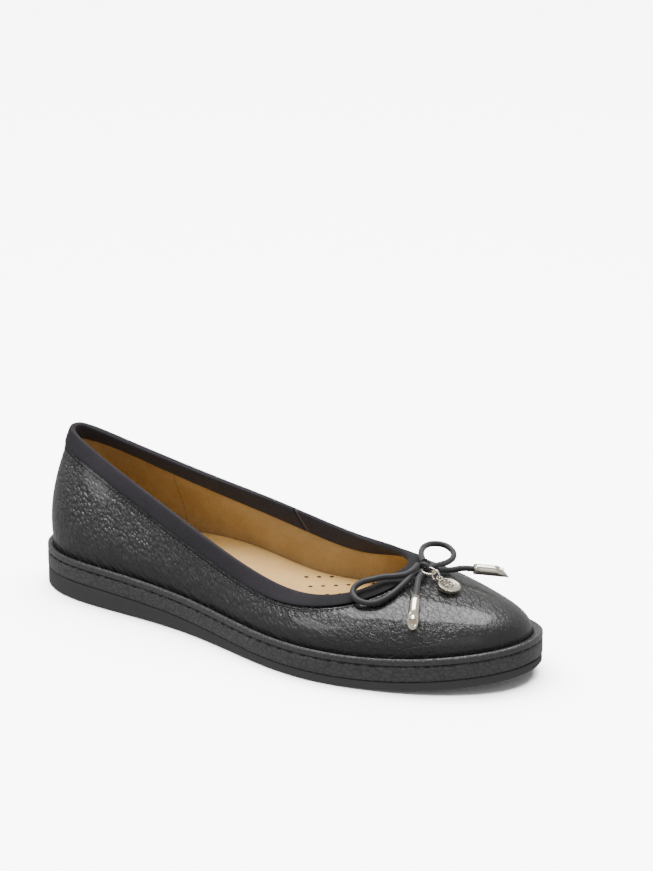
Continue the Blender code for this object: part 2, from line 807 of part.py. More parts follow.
def make_bow(height, cord, metal, group, cutters):
    """The bow on the vamp: a knot, two loops, two tails with metal tips, and the charm's chain."""
    x = LENGTH - VAMP_LENGTH + KNOT_AHEAD
    z = resting_height(height, x, KNOT_ASIDE, KNOT_DIAMETER / 2.0, KNOT_CORD / 2.0)
    knot = np.array([x, KNOT_ASIDE, z])
    medial = Vector((0.0, 1.0, 0.0))
    front = Vector((1.0, 0.0, 0.0))
    make_torus("bow_knot", knot, medial, front, KNOT_DIAMETER, KNOT_CORD, CORD_SIDES, cord, group)
    for name, route in (("bow_loop_lateral", LATERAL_LOOP), ("bow_loop_medial", MEDIAL_LOOP)):
        make_cord(name, smooth_route(np.array(route) + knot, CORD_STEP), cord, group)
    tails = (("lateral", LATERAL_TAIL, LATERAL_TIP_END), ("medial", MEDIAL_TAIL, MEDIAL_TIP_END))
    for side, route, end in tails:
        route = np.array(route) + knot
        axis = np.array(end) + knot - route[-1]
        axis /= np.linalg.norm(axis)
        route = np.vstack([route, route[-1] + axis * TIP_GRIP])
        make_cord("bow_tail_" + side, smooth_route(route, CORD_STEP), cord, group)
        make_tip("tip_" + side, route[-2], route[-1], metal, group, cutters)
    make_chain(knot, height, metal, group, cutters)


def centre_shoe():
    """Move everything so that the origin lies at the bottom centre of the sole's edge."""
    edge = outline_side(np.linspace(0.0, FULL_TURN, 4 * COLUMNS))
    shift = Vector((-LENGTH / 2.0, -(edge.min() + edge.max()) / 2.0, 0.0))
    for thing in bpy.data.objects:
        thing.location += shift


def main():
    clear_scene()
    shoe = new_collection("ballet_flat")
    cutters = new_collection("cutters", hidden=True)
    rubber = new_material("outsole_rubber", (0.060, 0.060, 0.062), 0.75)
    leather = new_material("upper_leather", (0.022, 0.022, 0.023), 0.42)
    wrap = new_material("midsole_leather", (0.035, 0.035, 0.036), 0.55)
    tape = new_material("band_textile", (0.040, 0.037, 0.047), 0.80)
    lining = new_material("insole_leather", (0.68, 0.49, 0.27), 0.45)
    cord = new_material("bow_cord", (0.040, 0.040, 0.042), 0.70)
    metal = new_material("pale_metal", (0.80, 0.76, 0.68), 0.22, 1.0)
    grid = upper_outer(column_angles())
    make_outsole(rubber, shoe)
    make_midsole(wrap, shoe)
    make_welt(wrap, shoe)
    upper = make_upper(grid, leather, shoe)
    band = make_collar_band(grid, tape, shoe)
    make_insole(grid, lining, shoe)
    make_bow(surface_finder([upper, band]), cord, metal, shoe, cutters)
    centre_shoe()


main()
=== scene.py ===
"""Looks of a black ballet flat: tumbled leather, bound collar, stitched welt, rubber sole and a cord bow."""

import math

import bmesh
import bpy
import numpy as np
from mathutils import Matrix, Vector
from mathutils.bvhtree import BVHTree


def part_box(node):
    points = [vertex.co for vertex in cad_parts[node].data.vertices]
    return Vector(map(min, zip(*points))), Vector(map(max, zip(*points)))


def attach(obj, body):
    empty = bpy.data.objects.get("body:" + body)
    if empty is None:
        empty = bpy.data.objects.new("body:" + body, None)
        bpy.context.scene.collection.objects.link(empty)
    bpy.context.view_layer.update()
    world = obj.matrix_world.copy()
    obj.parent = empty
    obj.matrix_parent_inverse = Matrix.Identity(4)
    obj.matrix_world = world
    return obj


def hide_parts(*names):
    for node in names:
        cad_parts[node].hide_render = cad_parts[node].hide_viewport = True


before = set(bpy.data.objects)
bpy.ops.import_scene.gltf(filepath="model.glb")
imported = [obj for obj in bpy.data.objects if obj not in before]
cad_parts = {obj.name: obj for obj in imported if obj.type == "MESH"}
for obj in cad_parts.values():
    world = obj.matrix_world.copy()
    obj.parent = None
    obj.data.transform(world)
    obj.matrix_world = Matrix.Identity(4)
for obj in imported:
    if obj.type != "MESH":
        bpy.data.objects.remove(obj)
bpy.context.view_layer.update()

# The photograph's frame and the place of the camera
PHOTO_WIDTH = 653
PHOTO_HEIGHT = 871
AZIMUTH = math.radians(35.9)
ELEVATION = math.radians(20.0)
CAMERA_DISTANCE = 1.519
FOCAL_PIXELS = 3448.0
TARGET = Vector((0.0, 0.00225, 0.030))
TARGET_PIXEL = (282.07, 561.36)

# The sky's strength, and the light that only the floor receives
SKY_STRENGTH = 0.58
FLOOR_SIZE = 14.0
FLOOR_WASH = 25.5
WASH_DIRECTION = (0.30, -0.22, -1.0)
WASH_SPREAD = math.radians(85.0)

# The soft lights: name, place, aim, size and power
SOFT_LIGHTS = (
    ("overhead", (-0.20, 0.31, 1.2), (-0.05, 0.10, 0.03), (1.1, 0.68), 23.0),
    ("front", (1.1, -0.9, 0.9), (0.0, 0.0, 0.03), (0.9, 0.9), 1.6),
    ("side", (-0.70, -0.85, 1.10), (0.0, 0.0, 0.03), (0.45, 0.45), 3.2),
)

# Where the upper's grain changes along the shoe and up its walls, and how the vamp's streaks are turned
VAMP_RISE = (0.036, 0.074)
TOE_RISE = (0.088, 0.114)
LOW_WALL = (0.020, 0.036)
FRONT_WALL = (0.029, 0.042)
STREAK_TURN = math.radians(-28.0)

# The insole's punched holes: one hole's place, the pitch in a row and between rows, and the zone's ends
HOLE_START = (0.0105, 0.0091)
HOLE_PITCH = 0.0057
HOLE_ROWS = 0.0107
HOLE_RADIUS = 0.0011
HOLES_BEGIN = (-0.004, -0.002)
HOLES_END = (0.070, 0.072)
ROWS_BEGIN = (-0.005, -0.003)

# The slanting join of the collar tape: how far it leans, where it is at the floor, and where the lap ends
JOIN_SLANT = 0.757
JOIN_AT = 0.0238
JOIN_LAP = (0.0085, 0.0130)

# The plain rim of the charm begins here, from the middle of its face
CHARM_RIM = (0.0030, 0.0036)

# The bow, as in the part's source: routes along, aside and up from the knot's centre
CORD_DIAMETER = 0.0026
CORD_ROUNDNESS = 5
LOOP_POINTS = 78
TAIL_POINTS = 40
POINTS_PER_SPAN = 40
TIP_GRIP = 0.0125
LATERAL_LOOP = (
    (-0.0016, -0.0026, 0.0018),
    (-0.0007, -0.0075, 0.0012),
    (-0.0017, -0.0116, 0.0002),
    (-0.0055, -0.0148, -0.0005),
    (-0.0089, -0.0182, -0.0006),
    (-0.0111, -0.0222, -0.0008),
    (-0.0143, -0.0256, -0.0017),
    (-0.0160, -0.0288, -0.0034),
    (-0.0152, -0.0316, -0.0053),
    (-0.0117, -0.0332, -0.0070),
    (-0.0073, -0.0321, -0.0079),
    (-0.0037, -0.0299, -0.0073),
    (-0.0014, -0.0257, -0.0058),
    (-0.0004, -0.0197, -0.0040),
    (0.0000, -0.0126, -0.0017),
    (-0.0003, -0.0076, -0.0002),
    (-0.0010, -0.0026, -0.0009),
)
MEDIAL_LOOP = (
    (-0.0016, 0.0026, 0.0018),
    (-0.0059, 0.0073, 0.0014),
    (-0.0093, 0.0118, 0.0011),
    (-0.0120, 0.0163, 0.0008),
    (-0.0140, 0.0213, 0.0006),
    (-0.0142, 0.0263, 0.0003),
    (-0.0123, 0.0303, -0.0004),
    (-0.0088, 0.0316, -0.0012),
    (-0.0043, 0.0295, -0.0023),
    (-0.0013, 0.0247, -0.0030),
    (-0.0005, 0.0190, -0.0031),
    (0.0001, 0.0110, -0.0019),
    (-0.0003, 0.0064, -0.0016),
    (-0.0010, 0.0026, -0.0013),
)
LATERAL_TAIL = (
    (0.0022, -0.0048, -0.0008),
    (0.0032, -0.0089, -0.0015),
    (0.0064, -0.0149, -0.0031),
    (0.0103, -0.0219, -0.0047),
)
MEDIAL_TAIL = (
    (0.0038, 0.0046, -0.0014),
    (0.0042, 0.0090, -0.0026),
    (0.0051, 0.0135, -0.0038),
    (0.0085, 0.0171, -0.0034),
    (0.0129, 0.0194, -0.0034),
)
LATERAL_TIP_END = (0.0175, -0.0351, -0.0130)
MEDIAL_TIP_END = (0.0239, 0.0279, -0.0050)

# How the CAD's facets are joined to quads, creased and smoothed
SAME_PLACE = 1e-6
FLAT_ENOUGH = math.radians(60.0)
SQUARE_ENOUGH = math.radians(80.0)
CREASED_ANGLE = math.radians(38.0)
SMOOTH_ANGLE = math.radians(50.0)
RIM_ANGLE = math.radians(60.0)
SUBDIVISIONS = 2

# How far surfaces that meet, and thin wire, are thickened
JOINT_FILL = 0.00020
WIRE_FILL = 0.00019

# The line inside the shoe that the lining looks towards: its two ends, its side and its height
CORE_ENDS = (-0.088, 0.085)
CORE_SIDE = 0.003
CORE_HEIGHT = 0.024

# The metal plug that closes a tip: its radius, its place in the tip and its thickness
PLUG_SIDES = 32
PLUG_RADIUS = 0.00172
PLUG_START = 0.0098
PLUG_DEPTH = 0.0031

# Seams: the length and width of a stitch, its pitch, and how far down the upper a line of them lies
STITCH_SEGMENTS = 8
STITCH_RINGS = 6
LOOK_AHEAD = 0.0005
PITCH_FROM = -0.126
PITCH_RUN = 0.252
WELT_STITCH = (0.0027, 0.00110)
WELT_PITCH_HEEL = 0.0048
WELT_PITCH_TOE = 0.0072
BAND_STITCH = (0.0015, 0.00050)
BAND_PITCH = 0.0022
BAND_SEAM_DROP = 0.0019
BAND_GROOVE = (0.0030, 0.00050)
BAND_GROOVE_DROP = 0.0012
LINING_STITCH = (0.0009, 0.00036)
LINING_PITCH = 0.0014
LINING_SEAM_AT = -0.0733
LINING_SEAM_RANGE = (0.0215, 0.0560)
LEVEL_ENOUGH = 0.3

# The rays that find the welt's lower edge from outside, and where the thread lies from there
RAYS_ROUND = 360
RAY_REACH = 0.2
RAY_HEIGHTS = (0.010, 0.034, 0.0004)
RAY_CENTRE_TOE = 0.085
RAY_CENTRE_HEEL = 0.10
THREAD_OUT = 0.0001
THREAD_DOWN = 0.0003


class Value:
    """A shader socket that can be used in sums."""

    def __init__(self, finish, socket):
        self.finish = finish
        self.socket = socket

    def join(self, operation, first, second):
        return self.finish.add("ShaderNodeMath", {"operation": operation}, {0: first, 1: second})

    def __add__(self, other):
        return self.join("ADD", self, other)

    def __radd__(self, other):
        return self.join("ADD", other, self)

    def __sub__(self, other):
        return self.join("SUBTRACT", self, other)

    def __rsub__(self, other):
        return self.join("SUBTRACT", other, self)

    def __mul__(self, other):
        return self.join("MULTIPLY", self, other)

    def __rmul__(self, other):
        return self.join("MULTIPLY", other, self)

    def __truediv__(self, other):
        return self.join("DIVIDE", self, other)

    def __rtruediv__(self, other):
        return self.join("DIVIDE", other, self)

    def __pow__(self, other):
        return self.join("POWER", self, other)


class Finish:
    """A procedural material that is built from expressions."""

    def __init__(
        self, name, roughness=0.5, metallic=0.0, specular=0.5, coat=0.0, coat_roughness=0.1, sheen=0.0
    ):
        self.material = bpy.data.materials.new(name)
        self.material.use_nodes = True
        self.tree = self.material.node_tree
        self.shader = self.tree.nodes["Principled BSDF"]
        self.shader.inputs["Roughness"].default_value = roughness
        self.shader.inputs["Metallic"].default_value = metallic
        self.shader.inputs["Specular IOR Level"].default_value = specular
        self.shader.inputs["Coat Weight"].default_value = coat
        self.shader.inputs["Coat Roughness"].default_value = coat_roughness
        self.shader.inputs["Sheen Weight"].default_value = sheen
        self.place = self.add("ShaderNodeTexCoord", {}, {}, "Object")

    def add(self, kind, settings, inputs, output=0):
        """A node with its settings and its inputs. Returns one of its outputs."""
        node = self.tree.nodes.new(kind)
        for key, setting in settings.items():
            setattr(node, key, setting)
        for key, given in inputs.items():
            self.feed(node.inputs[key], given)
        return Value(self, node.outputs[output])

    def feed(self, socket, given):
        """Link a socket, or set its value."""
        if isinstance(given, Value):
            self.tree.links.new(given.socket, socket)
        elif isinstance(given, tuple) and len(given) == 3 and socket.type == "RGBA":
            socket.default_value = (*given, 1.0)
        else:
            socket.default_value = given

    def axis(self, index):
        """One of the object's own coordinates, in metres."""
        return self.add("ShaderNodeSeparateXYZ", {}, {0: self.place}, index)

    def stretched(self, scale):
        """The object's coordinates, scaled: a pattern in them comes out narrower where scale is larger."""
        return self.add("ShaderNodeMapping", {}, {"Vector": self.place, "Scale": scale})

    def turned(self, turn, stretch):
        """The object's coordinates, turned: a pattern in them comes out longer where stretch is larger."""
        inputs = {"Vector": self.place, "Rotation": turn, "Scale": stretch}
        return self.add("ShaderNodeMapping", {"vector_type": "TEXTURE"}, inputs)

    def noise(self, size, detail=3.0, roughness=0.5, distortion=0.0, at=None, output=0):
        """Noise whose features are about as large as size, in metres."""
        inputs = {
            "Vector": at or self.place,
            "Scale": 1.0 / size,
            "Detail": detail,
            "Roughness": roughness,
            "Distortion": distortion,
        }
        return self.add("ShaderNodeTexNoise", {}, inputs, output)

    def shaken(self, at, size, amount):
        """Coordinates pushed about by noise, so that a pattern loses its straight lines."""
        push = self.noise(size, 2.0, at=at, output="Color")
        centred = self.add("ShaderNodeVectorMath", {"operation": "SUBTRACT"}, {0: push, 1: (0.5, 0.5, 0.5)})
        scaled = self.add("ShaderNodeVectorMath", {"operation": "SCALE"}, {0: centred, "Scale": amount})
        return self.add("ShaderNodeVectorMath", {"operation": "ADD"}, {0: at, 1: scaled})

    def cells(self, size, at=None, feature="DISTANCE_TO_EDGE"):
        """Cells about as large as size: distance to their edges, or to their middles."""
        inputs = {"Vector": at or self.place, "Scale": 1.0 / size}
        return self.add("ShaderNodeTexVoronoi", {"feature": feature}, inputs, "Distance")

    def from_nearest(self, value):
        """How far a value is from the whole number nearest to it."""
        whole = self.add("ShaderNodeMath", {"operation": "ROUND"}, {0: value})
        return value - whole

    def step(self, value, low, high):
        """A smooth rise from 0 at low to 1 at high."""
        inputs = {"Value": value, "From Min": low, "From Max": high}
        return self.add("ShaderNodeMapRange", {"interpolation_type": "SMOOTHSTEP"}, inputs)

    def mix(self, share, first, second):
        """A colour between two colours."""
        return self.add("ShaderNodeMix", {"data_type": "RGBA"}, {0: share, 6: first, 7: second}, 2)

    def finish(self, colour, roughness=None, height=None, depth=0.0002, strength=1.0):
        """Link the colour, roughness and relief to the shader."""
        self.feed(self.shader.inputs["Base Color"], colour)
        if roughness is not None:
            self.feed(self.shader.inputs["Roughness"], roughness)
        if height is not None:
            relief = {"Height": height, "Distance": depth, "Strength": strength}
            self.feed(self.shader.inputs["Normal"], self.add("ShaderNodeBump", {}, relief))
        return self.material


def upper_leather():
    """Black tumbled leather: slanting pebbles at the quarters, streaks over the vamp, smoother at the toe."""
    f = Finish("tumbled_leather", specular=0.55, coat=0.35, coat_roughness=0.10)
    along = f.axis(0)
    high = f.axis(2)
    vamp = f.step(along + 0.012 * f.noise(0.02, 1.0), *VAMP_RISE)
    toe = f.step(along, *TOE_RISE)
    slanted = f.shaken(f.turned((0.0, math.radians(42.0), 0.0), (2.3, 1.0, 1.0)), 0.0020, 0.0015)
    streaked = f.shaken(f.turned((0.0, 0.0, STREAK_TURN), (3.0, 1.0, 1.0)), 0.0024, 0.0020)
    side_cells = f.cells(0.0012, slanted, "F1")
    vamp_cells = f.cells(0.0013, streaked, "F1")
    side_domes = 1.0 - side_cells * side_cells * 1.7
    vamp_domes = 1.0 - vamp_cells * vamp_cells * 1.7
    fine_domes = 1.0 - f.cells(0.0006, f.shaken(f.place, 0.0009, 0.0005), "F1")
    low_wall = 1.0 - f.step(high, *LOW_WALL)
    patches = f.step(f.noise(0.013, 2.0), 0.30, 0.72)
    side_strength = (0.55 + 0.55 * patches) * (1.0 - 0.60 * low_wall)
    front_wall = 1.0 - f.step(high, *FRONT_WALL)
    vamp_strength = (0.45 + 0.45 * patches) * (1.0 - 0.75 * toe) * (1.0 - 0.65 * front_wall)
    domes = side_domes * side_strength * (1.0 - vamp) + vamp_domes * vamp_strength * vamp
    fan = f.turned((0.0, math.radians(38.0), 0.0), (6.0, 1.0, 1.0))
    folds = f.turned((0.0, 0.0, STREAK_TURN), (5.0, 1.0, 1.0))
    vamp_creases = 1.0 - f.step(f.cells(0.0025, streaked), 0.0, 0.085)
    vamp_creases = vamp_creases * vamp * (1.0 - 0.85 * toe) * (1.0 - 0.7 * front_wall)
    side_folds = f.noise(0.0017, 2.0, 0.5, 0.35, at=fan) * (1.0 - vamp) * (0.5 + 0.9 * low_wall)
    vamp_folds = f.noise(0.0019, 3.0, 0.55, 0.4, at=folds) * vamp
    vamp_folds = vamp_folds * (1.0 - 0.55 * toe) * (1.0 - 0.4 * front_wall)
    waves = f.noise(0.0065, 2.0, 0.5, 0.5)
    grain = domes - 1.5 * vamp_creases + 0.16 * fine_domes
    height = grain + 1.9 * side_folds + 2.6 * vamp_folds + 0.6 * waves
    # Painted shade: the colour is darker in the creases and in the hollows between the pebbles, and lighter
    # on the pebbles' tops.
    colour = f.mix(f.step(domes - vamp_creases, 0.05, 0.75), (0.0080, 0.0080, 0.0085), (0.026, 0.026, 0.0265))
    roughness = 0.38 + 0.25 * vamp_creases - 0.12 * domes + 0.14 * (f.noise(0.004, 3.0) - 0.5) - 0.09 * toe
    return f.finish(colour, roughness, height, 0.00046, 1.0)


def lining_leather():
    """Tan lining leather with faint mottling."""
    f = Finish("tan_lining", specular=0.35)
    mottle = f.noise(0.014, 4.0, 0.6)
    pores = f.step(f.cells(0.0007, f.shaken(f.place, 0.001, 0.0006)), 0.0, 0.2)
    colour = f.mix(f.step(mottle, 0.30, 0.75), (0.405, 0.270, 0.108), (0.470, 0.325, 0.142))
    return f.finish(colour, 0.46 + 0.12 * (mottle - 0.5), pores + 1.5 * f.noise(0.0012, 2.0), 0.00010, 0.9)


def insole_leather():
    """Light tan insole leather with rows of small punched holes."""
    f = Finish("insole_leather", specular=0.45, coat=0.10, coat_roughness=0.3)
    mottle = f.noise(0.02, 4.0, 0.6)
    pores = f.step(f.cells(0.0006, f.shaken(f.place, 0.001, 0.0005)), 0.0, 0.2)
    base = f.mix(f.step(mottle, 0.30, 0.75), (0.87, 0.525, 0.175), (0.94, 0.610, 0.230))
    beside = f.axis(0) - HOLE_START[0]
    aside = f.axis(1) - HOLE_START[1]
    in_row = f.from_nearest((beside + aside) / (HOLE_PITCH * math.sqrt(2.0))) * HOLE_PITCH
    off_row = f.from_nearest((aside - beside) / (HOLE_ROWS * math.sqrt(2.0))) * HOLE_ROWS
    away = (in_row * in_row + off_row * off_row) ** 0.5
    inside = f.step(f.axis(0), *HOLES_BEGIN) * (1.0 - f.step(f.axis(0), *HOLES_END))
    inside = inside * f.step(beside + aside, *ROWS_BEGIN)
    hole = (1.0 - f.step(away, 0.8 * HOLE_RADIUS, 1.05 * HOLE_RADIUS)) * inside
    # Painted shade: each punched hole is coloured near black, as the holes are only a dent in the relief.
    colour = f.mix(hole, base, (0.012, 0.006, 0.003))
    height = pores + f.noise(0.001, 2.0) - 5.0 * hole
    return f.finish(colour, 0.42 + 0.14 * (mottle - 0.5), height, 0.00006, 0.7)


def band_tape():
    """Dark stretch tape of the collar: a fine matt weave whose ends overlap at the inner side."""
    f = Finish("collar_tape", specular=0.12, sheen=0.08)
    weave = f.cells(0.00055, f.shaken(f.place, 0.0009, 0.0002), "F1")
    cloud = f.noise(0.010, 3.0)
    join = f.axis(0) + JOIN_SLANT * f.axis(2) - JOIN_AT
    inner_side = f.step(f.axis(1), 0.0, 0.002)
    lap = f.step(join, -0.0003, 0.0003) * (1.0 - f.step(join, *JOIN_LAP)) * inner_side
    # Painted shadow and highlight at the join: a near black line where the lapped end steps up, and a lighter
    # strip on the lap's raised edge.
    edge = f.step(join, -0.0008, -0.0003) * (1.0 - f.step(join, 0.0001, 0.0004)) * inner_side
    rim = f.step(join, 0.0002, 0.0006) * (1.0 - f.step(join, 0.0010, 0.0016)) * inner_side
    # Painted shade: the tape is coloured darker towards the front of the shoe.
    front = f.step(f.axis(0), 0.02, 0.06)
    tint = f.mix(0.6 * weave + 0.4 * cloud, (0.021, 0.019, 0.0225), (0.048, 0.044, 0.052))
    painted_front_shade = f.mix(0.75 * front, tint, (0.010, 0.010, 0.011))
    colour = f.mix(0.9 * edge, f.mix(0.6 * rim, painted_front_shade, (0.10, 0.095, 0.11)), (0.003, 0.003, 0.003))
    return f.finish(colour, 0.78 - 0.1 * cloud, weave + 4.5 * lap, 0.00010, 0.8)


def wrap_leather(name, grain, gloss, depth):
    """Thin black leather of the midsole's wrap and the welt: small crinkles that run along the edge."""
    f = Finish(name, specular=0.5, coat=0.10, coat_roughness=0.25)
    place = f.shaken(f.stretched((1.0, 1.0, 1.7)), 0.0015, 0.0012)
    domes = 1.0 - f.cells(grain, place, "F1")
    creases = f.step(f.cells(2.4 * grain, place), 0.0, 0.16)
    waves = f.noise(0.004, 3.0, 0.6, 0.5)
    height = domes + 0.35 * creases + 1.2 * waves + 0.8 * f.noise(0.0013, 3.0, 0.6, 0.4, at=place)
    # Painted shade: the colour is darker along the crease lines between the crinkles; the waves add tone that
    # varies at random.
    colour = f.mix(creases * 0.5 + 0.5 * waves, (0.027, 0.027, 0.028), (0.078, 0.078, 0.081))
    roughness = gloss - 0.08 * creases + 0.16 * (f.noise(0.003, 3.0) - 0.5)
    return f.finish(colour, roughness, height, depth, 1.0)


def seam_thread(name, colour, gloss):
    """Waxed thread: a plain tint with fine twist marks."""
    f = Finish(name, specular=0.5)
    twist = f.noise(0.0003, 2.0)
    dark = tuple(0.6 * part for part in colour)
    return f.finish(f.mix(twist, dark, colour), gloss + 0.1 * (twist - 0.5), twist, 0.00003, 0.6)


def sole_rubber():
    """Smooth matt rubber with a faint cloudiness and dust-fine grain."""
    f = Finish("sole_rubber", specular=0.35)
    cloud = f.noise(0.02, 4.0, 0.6)
    grain = f.noise(0.00035, 2.0, 0.6)
    colour = f.mix(cloud, (0.052, 0.052, 0.053), (0.074, 0.074, 0.076))
    return f.finish(colour, 0.62 + 0.14 * (cloud - 0.5), grain, 0.00004, 0.7)


def bow_cord():
    """Round elastic cord: dark grey, matt, with fine ribs along it."""
    f = Finish("elastic_cord", specular=0.4, sheen=0.10)
    cloud = f.noise(0.003, 3.0)
    grain = f.noise(0.00045, 3.0, 0.6)
    colour = f.mix(0.5 * cloud + 0.5 * grain, (0.020, 0.020, 0.022), (0.048, 0.048, 0.051))
    return f.finish(colour, 0.52 + 0.2 * (grain - 0.5), grain, 0.00008, 0.9)


def pale_metal():
    """Polished pale metal with a warm cast and faint scratches."""
    f = Finish("pale_metal", metallic=1.0)
    smear = f.noise(0.004, 4.0, 0.6)
    scratches = f.noise(0.0006, 3.0, at=f.turned((0.0, 0.0, 0.6), (1.0, 6.0, 1.0)))
    dents = f.noise(0.0012, 2.0)
    colour = f.mix(smear, (0.80, 0.725, 0.59), (0.92, 0.86, 0.74))
    return f.finish(colour, 0.13 + 0.14 * scratches, scratches + 2.5 * dents, 0.00003, 0.7)


def charm_metal():
    """The charm's pale metal: an abstract relief of soft ridges inside a plain rim."""
    f = Finish("charm_metal", metallic=1.0)
    low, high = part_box("charm")
    middle = tuple((np.array(low) + np.array(high)) / 2.0)
    away = f.add("ShaderNodeVectorMath", {"operation": "DISTANCE"}, {0: f.place, 1: middle}, "Value")
    inside = 1.0 - f.step(away, *CHARM_RIM)
    ridges = f.step(f.cells(0.0013, f.place), 0.02, 0.30)
    smear = f.noise(0.002, 3.0)
    bright = f.mix(smear, (0.64, 0.58, 0.47), (0.80, 0.74, 0.63))
    # Painted shade: the grooves between the ridges inside the rim are coloured dark.
    colour = f.mix(inside * (1.0 - ridges), bright, (0.14, 0.125, 0.10))
    return f.finish(colour, 0.15 + 0.12 * smear, 1.0 - inside + inside * ridges, 0.00022, 1.0)


def floor_paint():
    """Plain pale floor."""
    f = Finish("floor", roughness=0.9, specular=0.1)
    return f.finish((0.90, 0.90, 0.90))


def select_only(thing):
    """Make one object the selected and active one."""
    if bpy.context.object and bpy.context.object.mode != "OBJECT":
        bpy.ops.object.mode_set(mode="OBJECT")
    bpy.ops.object.select_all(action="DESELECT")
    thing.select_set(True)
    bpy.context.view_layer.objects.active = thing


def fine_copy(node, name, slot, finishes, crease=0.6, grow=0.0):
    """A finer, smooth copy of a CAD node that stands for it: quads again, creased and subdivided."""
    thing = bpy.data.objects.new(name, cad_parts[node].data.copy())
    bpy.context.scene.collection.objects.link(thing)
    select_only(thing)
    bpy.ops.object.mode_set(mode="EDIT")
    bpy.ops.mesh.select_all(action="SELECT")
    bpy.ops.mesh.remove_doubles(threshold=SAME_PLACE)
    bpy.ops.mesh.tris_convert_to_quads(face_threshold=FLAT_ENOUGH, shape_threshold=SQUARE_ENOUGH)
    bpy.ops.transform.shrink_fatten(value=grow)
    bpy.ops.mesh.select_all(action="DESELECT")
    bpy.ops.mesh.select_mode(type="EDGE")
    bpy.ops.mesh.edges_select_sharp(sharpness=CREASED_ANGLE)
    bpy.ops.transform.edge_crease(value=crease)
    bpy.ops.mesh.select_mode(type="VERT")
    bpy.ops.object.mode_set(mode="OBJECT")
    thing.data.materials.clear()
    for finish in finishes:
        thing.data.materials.append(finish)
    smoothing = thing.modifiers.new("smooth", "SUBSURF")
    smoothing.levels = SUBDIVISIONS
    smoothing.render_levels = SUBDIVISIONS
    bpy.ops.object.modifier_apply(modifier="smooth")
    bpy.ops.object.shade_smooth_by_angle(angle=SMOOTH_ANGLE)
    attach(thing, "root")
    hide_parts(node)
    return thing


def smooth_route(points, count):
    """Evenly spaced points on a smooth curve through a route's points."""
    points = np.array(points)
    padded = np.vstack([2 * points[0] - points[1], points, 2 * points[-1] - points[-2]])
    share = np.linspace(0.0, 1.0, POINTS_PER_SPAN, endpoint=False)[:, None]
    curve = []
    for before, start, end, after in zip(padded, padded[1:], padded[2:], padded[3:]):
        bend = 2 * before - 5 * start + 4 * end - after
        twist = -before + 3 * start - 3 * end + after
        curve.append(start + 0.5 * share * ((end - before) + share * (bend + share * twist)))
    curve = np.vstack([*curve, points[-1:]])
    run = np.concatenate([[0.0], np.cumsum(np.linalg.norm(np.diff(curve, axis=0), axis=1))])
    at = np.linspace(0.0, run[-1], count)
    return np.stack([np.interp(at, run, curve[:, k]) for k in range(3)], axis=1), float(run[-1])


def make_cord(name, node, route, finish, count):
    """A cord of the bow as a smooth round tube."""
    points, length = smooth_route(route, count)
    curve = bpy.data.curves.new(name, "CURVE")
    curve.dimensions = "3D"
    curve.bevel_depth = CORD_DIAMETER / 2.0
    curve.bevel_resolution = CORD_ROUNDNESS
    curve.use_fill_caps = True
    spline = curve.splines.new("POLY")
    spline.points.add(count - 1)
    for corner, point in zip(spline.points, points):
        corner.co = (*point, 1.0)
    spline.use_smooth = True
    curve.materials.append(finish)
    thing = bpy.data.objects.new(name, curve)
    bpy.context.scene.collection.objects.link(thing)
    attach(thing, "root")
    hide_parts(node)


def make_plug(name, start, axis, metal):
    """A metal disc that closes a tip just beyond the end of its cord."""
    bpy.ops.object.select_all(action="DESELECT")
    turn = Vector(axis).to_track_quat("Z", "Y")
    place = Vector(start + axis * PLUG_DEPTH / 2.0)
    bpy.ops.mesh.primitive_cylinder_add(vertices=PLUG_SIDES, radius=PLUG_RADIUS, depth=PLUG_DEPTH)
    thing = bpy.context.object
    thing.name = name
    for corner in thing.data.vertices:
        corner.co = turn @ corner.co + place
    thing.data.materials.append(metal)
    bpy.ops.object.shade_smooth_by_angle(angle=SMOOTH_ANGLE)
    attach(thing, "root")
    return thing


def make_bow(cord, metal):
    """The bow: the metal that hangs on it, its knot, and the cords that carry them."""
    low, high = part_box("bow_knot")
    knot = (np.array(low) + np.array(high)) / 2.0
    hung = [fine_copy("bow_knot", "wrapped_knot", "bow_cord", [cord], crease=0.0)]
    for size in ("large", "small"):
        names = ("ring_" + size, "jump_ring_" + size)
        hung.append(fine_copy(*names, "pale_metal", [metal], crease=0.0, grow=WIRE_FILL))
    hung.append(fine_copy("charm", "round_charm", "pale_metal", [charm_metal()], crease=1.0))
    for side, route, carried in (("lateral", LATERAL_LOOP, hung), ("medial", MEDIAL_LOOP, [])):
        names = [thing.name for thing in carried]
        route = np.array(route) + knot
        make_cord("cord_loop_" + side, "bow_loop_" + side, route, cord, LOOP_POINTS)
    tails = (("lateral", LATERAL_TAIL, LATERAL_TIP_END), ("medial", MEDIAL_TAIL, MEDIAL_TIP_END))
    for side, route, end in tails:
        route = np.array(route) + knot
        axis = np.array(end) + knot - route[-1]
        axis /= np.linalg.norm(axis)
        tip = fine_copy("tip_" + side, "metal_tip_" + side, "pale_metal", [metal], crease=1.0)
        plug = make_plug("tip_plug_" + side, route[-1] + axis * PLUG_START, axis, metal)
        route = np.vstack([route, route[-1] + axis * TIP_GRIP])
        names = [tip.name, plug.name]
        make_cord("cord_tail_" + side, "bow_tail_" + side, route, cord, TAIL_POINTS)


